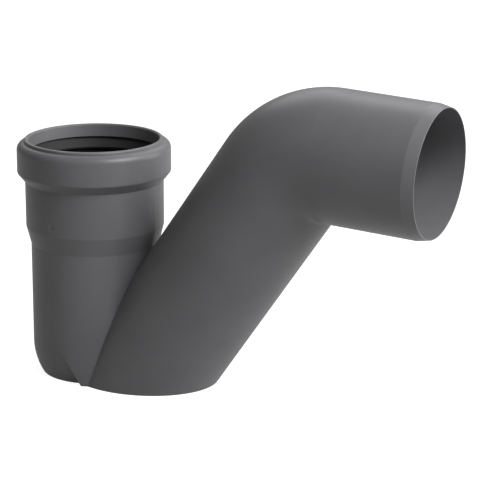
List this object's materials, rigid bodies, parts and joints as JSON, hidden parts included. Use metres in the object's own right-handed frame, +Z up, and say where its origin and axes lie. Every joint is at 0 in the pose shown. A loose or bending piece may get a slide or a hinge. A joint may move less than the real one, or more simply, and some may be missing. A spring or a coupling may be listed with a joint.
{
  "type": "horizontal p-trap",
  "caption": "Horizontal p-trap for a waste pipe: push-fit inlet socket with a lip seal, a leg on a flat base, a slanted limb and an elbow to a plain spigot.",
  "frame": {"origin": "on the inlet's axis, where the socket's bore starts, 1 mm below the rim", "axes": "+Z up along the inlet's axis, the way the pipe leaves the socket; +X towards the outlet; +Y across"},
  "size_m": [0.3847, 0.131, 0.2668],
  "materials": {
    "trap_body": "satin grey polypropylene",
    "lip_seal": "matt black rubber"
  },
  "bodies": {
    "root": {"trap_body": "trap_body", "lip_seal": "lip_seal"}
  },
  "joints": []
}
